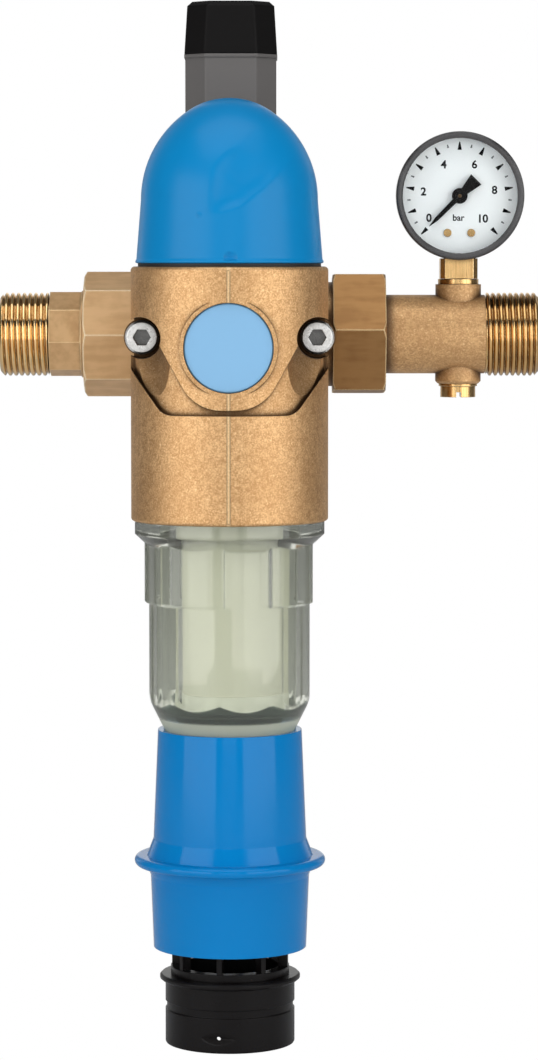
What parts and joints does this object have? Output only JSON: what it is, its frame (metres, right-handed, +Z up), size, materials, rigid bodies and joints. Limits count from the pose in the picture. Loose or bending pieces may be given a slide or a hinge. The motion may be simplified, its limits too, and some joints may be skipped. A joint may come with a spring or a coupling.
{
  "type": "self cleaning water filter",
  "caption": "Backwash water filter with pressure reducer: bronze body with screwed unions, clear bowl with a mesh filter, pull-down wash sleeve, air-gap drain and outlet pressure gauge.",
  "frame": {"origin": "centre of the drain spigot's lower face, on the axis of the filter body", "axes": "+Z up along the filter's axis, +X along the flow from inlet to outlet, +Y away from the viewer, towards the wall and the pipe"},
  "size_m": [0.2146, 0.1281, 0.4039],
  "materials": {
    "cast_bronze": "sand-cast, tumbled",
    "brass": "machined",
    "steel": "zinc plated",
    "blue_plastic": "satin",
    "pale_badge": "gloss",
    "black_plastic": "satin",
    "grey_plastic": "satin",
    "white_plastic": "satin",
    "clear_plastic": "clear",
    "gauge_black": "satin",
    "dial_white": "printed",
    "rubber": "matte"
  },
  "bodies": {
    "filter": {"filter_body": "cast_bronze", "connection_module": "cast_bronze", "body_top_plug": "brass", "inlet_union_nut": "brass", "inlet_tailpiece": "brass", "outlet_union_nut": "brass", "outlet_tailpiece": "brass", "test_plug": "brass", "gauge_stem": "brass", "dial_screws": "brass", "gauge_movement": "brass", "bourdon_tube": "brass", "flange_bolts": "steel", "check_valve_spring": "steel", "test_plug_seal": "steel", "reducer_spring": "steel", "reducer_seat": "steel", "filter_mesh": "steel", "rotor_axle": "steel", "drain_spring": "steel", "hood": "blue_plastic", "badge_disc": "pale_badge", "air_gap_cage": "black_plastic", "drain_spigot": "black_plastic", "reducer_housing": "grey_plastic", "check_valve_housing": "white_plastic", "filter_cage": "white_plastic", "filter_head": "white_plastic", "filter_bowl": "clear_plastic", "gauge_window": "clear_plastic", "gauge_case": "gauge_black", "gauge_bezel": "gauge_black", "gauge_dial": "dial_white", "top_plug_seal": "rubber", "hood_seat_ring": "rubber", "flange_gasket": "rubber", "inlet_gasket": "rubber", "outlet_gasket": "rubber", "gauge_stem_seal": "rubber", "diaphragm": "rubber", "bowl_seal": "rubber", "filter_seal": "rubber"},
    "backwash": {"backwash_sleeve": "blue_plastic", "cross_pin": "steel", "drain_valve": "brass", "drain_valve_seal": "rubber"},
    "rotor": {"wash_rotor": "white_plastic"},
    "cap": {"adjuster_cap": "black_plastic"},
    "spindle": {"adjuster_spindle": "steel"},
    "plate": {"spring_plate": "brass"},
    "valve": {"reducer_valve": "brass", "diaphragm_plate": "brass"},
    "poppet": {"check_valve_poppet": "black_plastic"},
    "pointer": {"gauge_pointer": "gauge_black"}
  },
  "joints": [
    {"name": "backwash_pull", "type": "slide", "parent": "filter", "child": "backwash", "axis": [0, 0, -1], "range_m": [0, 0.01], "stiffness_N_per_m": 800, "springref_m": -0.02, "deforming": ["drain_spring"]},
    {"name": "rotor_spin", "type": "hinge", "parent": "filter", "child": "rotor", "pos_m": [0, 0, 0.174], "axis": [0, 0, 1], "continuous": true},
    {"name": "cap_pull", "type": "slide", "parent": "filter", "child": "cap", "axis": [0, 0, 1], "range_m": [0, 0.024]},
    {"name": "pressure_adjust", "type": "hinge", "parent": "filter", "child": "spindle", "pos_m": [0, 0.0635, 0.36], "axis": [0, 0, 1], "range_deg": [-720, 720]},
    {"name": "plate_shift", "type": "slide", "parent": "filter", "child": "plate", "axis": [0, 0, 1], "range_m": [-0.004, 0.004], "deforming": ["reducer_spring"]},
    {"name": "reducer_lift", "type": "slide", "parent": "filter", "child": "valve", "axis": [0, 0, 1], "range_m": [0, 0.0034], "stiffness_N_per_m": 3000, "springref_m": -0.006, "deforming": ["diaphragm"]},
    {"name": "check_open", "type": "slide", "parent": "filter", "child": "poppet", "axis": [1, 0, 0], "range_m": [0, 0.005], "stiffness_N_per_m": 100, "springref_m": -0.005, "deforming": ["check_valve_spring"]},
    {"name": "pressure_reading", "type": "hinge", "parent": "filter", "child": "pointer", "pos_m": [0.0907, 0.0539, 0.3275], "axis": [0, 1, 0], "range_deg": [0, 270], "stiffness_Nm_per_rad": 0.0002, "springref_deg": -28.65}
  ],
  "couplings": [
    {"joint": "plate_shift", "follows": "pressure_adjust", "m_per_rad": 0.0003183}
  ]
}
